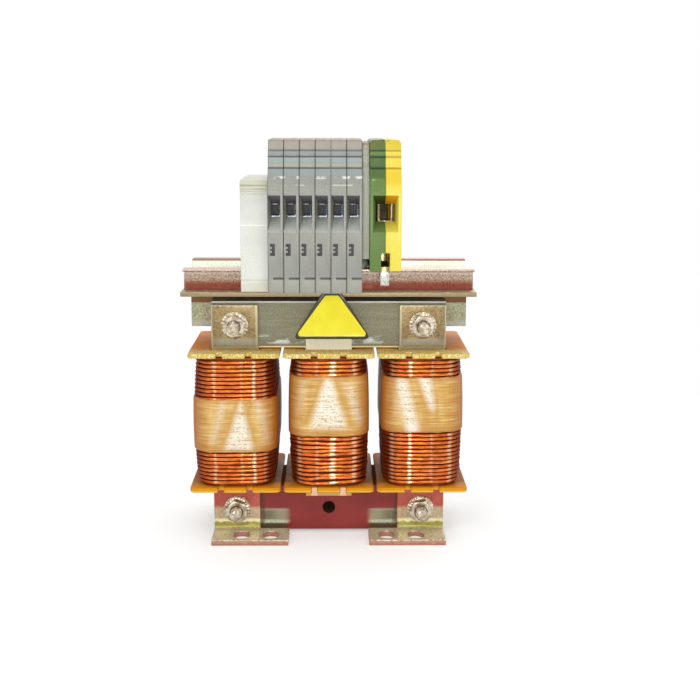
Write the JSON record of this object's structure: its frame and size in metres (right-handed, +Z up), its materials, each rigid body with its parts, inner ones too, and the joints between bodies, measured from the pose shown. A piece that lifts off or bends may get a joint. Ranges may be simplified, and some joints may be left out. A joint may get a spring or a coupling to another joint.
{
  "type": "line choke",
  "caption": "Three-phase line choke on a laminated three-leg core with slotted feet and a terminal row on a rail above the coils.",
  "frame": {"origin": "on the mounting surface, below the middle of the core", "axes": "+Z up, the front with the wire entries faces -Y, +X to the right as seen from the front"},
  "size_m": [0.0994, 0.0556, 0.1363],
  "materials": {
    "core_steel": "satin, laminated",
    "zinc_sheet": "satin zinc",
    "fastener_steel": "bright zinc",
    "rail_steel": "zinc",
    "bobbin_amber": "translucent amber",
    "copper_enamel": "enamelled copper, gloss varnish",
    "tape_cream": "varnished tape",
    "pressboard": "matt pressboard",
    "housing_grey": "moulded plastic",
    "stop_white": "moulded plastic",
    "earth_green": "moulded plastic",
    "earth_yellow": "moulded plastic",
    "clamp_steel": "blued zinc",
    "bar_copper": "tinned copper",
    "label_yellow": "gloss"
  },
  "bodies": {
    "choke": {"core_legs": "core_steel", "upper_yoke": "core_steel", "air_gap_spacers": "pressboard", "bobbin_left": "bobbin_amber", "bobbin_middle": "bobbin_amber", "bobbin_right": "bobbin_amber", "inner_layers": "copper_enamel", "winding_left": "copper_enamel", "winding_middle": "copper_enamel", "winding_right": "copper_enamel", "winding_tapes": "tape_cream", "pressboard_strip": "pressboard", "foot_front_left": "zinc_sheet", "foot_front_right": "zinc_sheet", "foot_rear_left": "zinc_sheet", "foot_rear_right": "zinc_sheet", "clamp_plates": "zinc_sheet", "tie_bolts": "fastener_steel", "tie_nuts": "fastener_steel", "tie_washers": "fastener_steel", "rail_carrier": "zinc_sheet", "top_hat_rail": "rail_steel", "rail_rivets": "fastener_steel", "end_stop": "stop_white", "end_cover": "housing_grey", "earth_terminal_green": "earth_green", "earth_terminal_yellow": "earth_yellow", "earth_bar": "bar_copper", "current_bars": "bar_copper", "label_plate": "label_yellow", "lead_wires": "copper_enamel", "lead_clamp_screws": "fastener_steel", "lead_clamp_cages": "clamp_steel", "terminal_1": "housing_grey", "terminal_2": "housing_grey", "terminal_3": "housing_grey", "terminal_4": "housing_grey", "terminal_5": "housing_grey", "terminal_6": "housing_grey"},
    "clamp_screw_1": {"clamp_screw_1": "fastener_steel"},
    "clamp_cage_1": {"clamp_cage_1": "clamp_steel"},
    "clamp_screw_2": {"clamp_screw_2": "fastener_steel"},
    "clamp_cage_2": {"clamp_cage_2": "clamp_steel"},
    "clamp_screw_3": {"clamp_screw_3": "fastener_steel"},
    "clamp_cage_3": {"clamp_cage_3": "clamp_steel"},
    "clamp_screw_4": {"clamp_screw_4": "fastener_steel"},
    "clamp_cage_4": {"clamp_cage_4": "clamp_steel"},
    "clamp_screw_5": {"clamp_screw_5": "fastener_steel"},
    "clamp_cage_5": {"clamp_cage_5": "clamp_steel"},
    "clamp_screw_6": {"clamp_screw_6": "fastener_steel"},
    "clamp_cage_6": {"clamp_cage_6": "clamp_steel"},
    "earth_screw_front": {"earth_screw_front": "fastener_steel"},
    "earth_cage_front": {"earth_cage_front": "fastener_steel"},
    "earth_screw_rear": {"earth_screw_rear": "fastener_steel"},
    "earth_cage_rear": {"earth_cage_rear": "fastener_steel"}
  },
  "joints": [
    {"name": "clamp_screw_1_turn", "type": "hinge", "parent": "choke", "child": "clamp_screw_1", "pos_m": [-0.0179, -0.0132, 0.118], "axis": [0, 0, 1], "range_deg": [-2448.5, 0]},
    {"name": "clamp_cage_1_lift", "type": "slide", "parent": "choke", "child": "clamp_cage_1", "axis": [0, 0, 1], "range_m": [0, 0.0034]},
    {"name": "clamp_screw_2_turn", "type": "hinge", "parent": "choke", "child": "clamp_screw_2", "pos_m": [-0.0127, -0.0132, 0.118], "axis": [0, 0, 1], "range_deg": [-2448.5, 0]},
    {"name": "clamp_cage_2_lift", "type": "slide", "parent": "choke", "child": "clamp_cage_2", "axis": [0, 0, 1], "range_m": [0, 0.0034]},
    {"name": "clamp_screw_3_turn", "type": "hinge", "parent": "choke", "child": "clamp_screw_3", "pos_m": [-0.0075, -0.0132, 0.118], "axis": [0, 0, 1], "range_deg": [-2448.5, 0]},
    {"name": "clamp_cage_3_lift", "type": "slide", "parent": "choke", "child": "clamp_cage_3", "axis": [0, 0, 1], "range_m": [0, 0.0034]},
    {"name": "clamp_screw_4_turn", "type": "hinge", "parent": "choke", "child": "clamp_screw_4", "pos_m": [-0.0023, -0.0132, 0.118], "axis": [0, 0, 1], "range_deg": [-2448.5, 0]},
    {"name": "clamp_cage_4_lift", "type": "slide", "parent": "choke", "child": "clamp_cage_4", "axis": [0, 0, 1], "range_m": [0, 0.0034]},
    {"name": "clamp_screw_5_turn", "type": "hinge", "parent": "choke", "child": "clamp_screw_5", "pos_m": [0.0029, -0.0132, 0.118], "axis": [0, 0, 1], "range_deg": [-2448.5, 0]},
    {"name": "clamp_cage_5_lift", "type": "slide", "parent": "choke", "child": "clamp_cage_5", "axis": [0, 0, 1], "range_m": [0, 0.0034]},
    {"name": "clamp_screw_6_turn", "type": "hinge", "parent": "choke", "child": "clamp_screw_6", "pos_m": [0.0081, -0.0132, 0.118], "axis": [0, 0, 1], "range_deg": [-2448.5, 0]},
    {"name": "clamp_cage_6_lift", "type": "slide", "parent": "choke", "child": "clamp_cage_6", "axis": [0, 0, 1], "range_m": [0, 0.0034]},
    {"name": "earth_screw_front_turn", "type": "hinge", "parent": "choke", "child": "earth_screw_front", "pos_m": [0.0188, -0.0132, 0.118], "axis": [0, 0, 1], "range_deg": [-2366.21, 0]},
    {"name": "earth_cage_front_lift", "type": "slide", "parent": "choke", "child": "earth_cage_front", "axis": [0, 0, 1], "range_m": [0, 0.0046]},
    {"name": "earth_screw_rear_turn", "type": "hinge", "parent": "choke", "child": "earth_screw_rear", "pos_m": [0.0188, 0.0132, 0.118], "axis": [0, 0, 1], "range_deg": [-2366.21, 0]},
    {"name": "earth_cage_rear_lift", "type": "slide", "parent": "choke", "child": "earth_cage_rear", "axis": [0, 0, 1], "range_m": [0, 0.0046]}
  ],
  "couplings": [
    {"joint": "clamp_screw_1_turn", "follows": "clamp_cage_1_lift", "rad_per_m": -12566},
    {"joint": "clamp_screw_2_turn", "follows": "clamp_cage_2_lift", "rad_per_m": -12566},
    {"joint": "clamp_screw_3_turn", "follows": "clamp_cage_3_lift", "rad_per_m": -12566},
    {"joint": "clamp_screw_4_turn", "follows": "clamp_cage_4_lift", "rad_per_m": -12566},
    {"joint": "clamp_screw_5_turn", "follows": "clamp_cage_5_lift", "rad_per_m": -12566},
    {"joint": "clamp_screw_6_turn", "follows": "clamp_cage_6_lift", "rad_per_m": -12566},
    {"joint": "earth_screw_front_turn", "follows": "earth_cage_front_lift", "rad_per_m": -8976},
    {"joint": "earth_screw_rear_turn", "follows": "earth_cage_rear_lift", "rad_per_m": -8976}
  ]
}
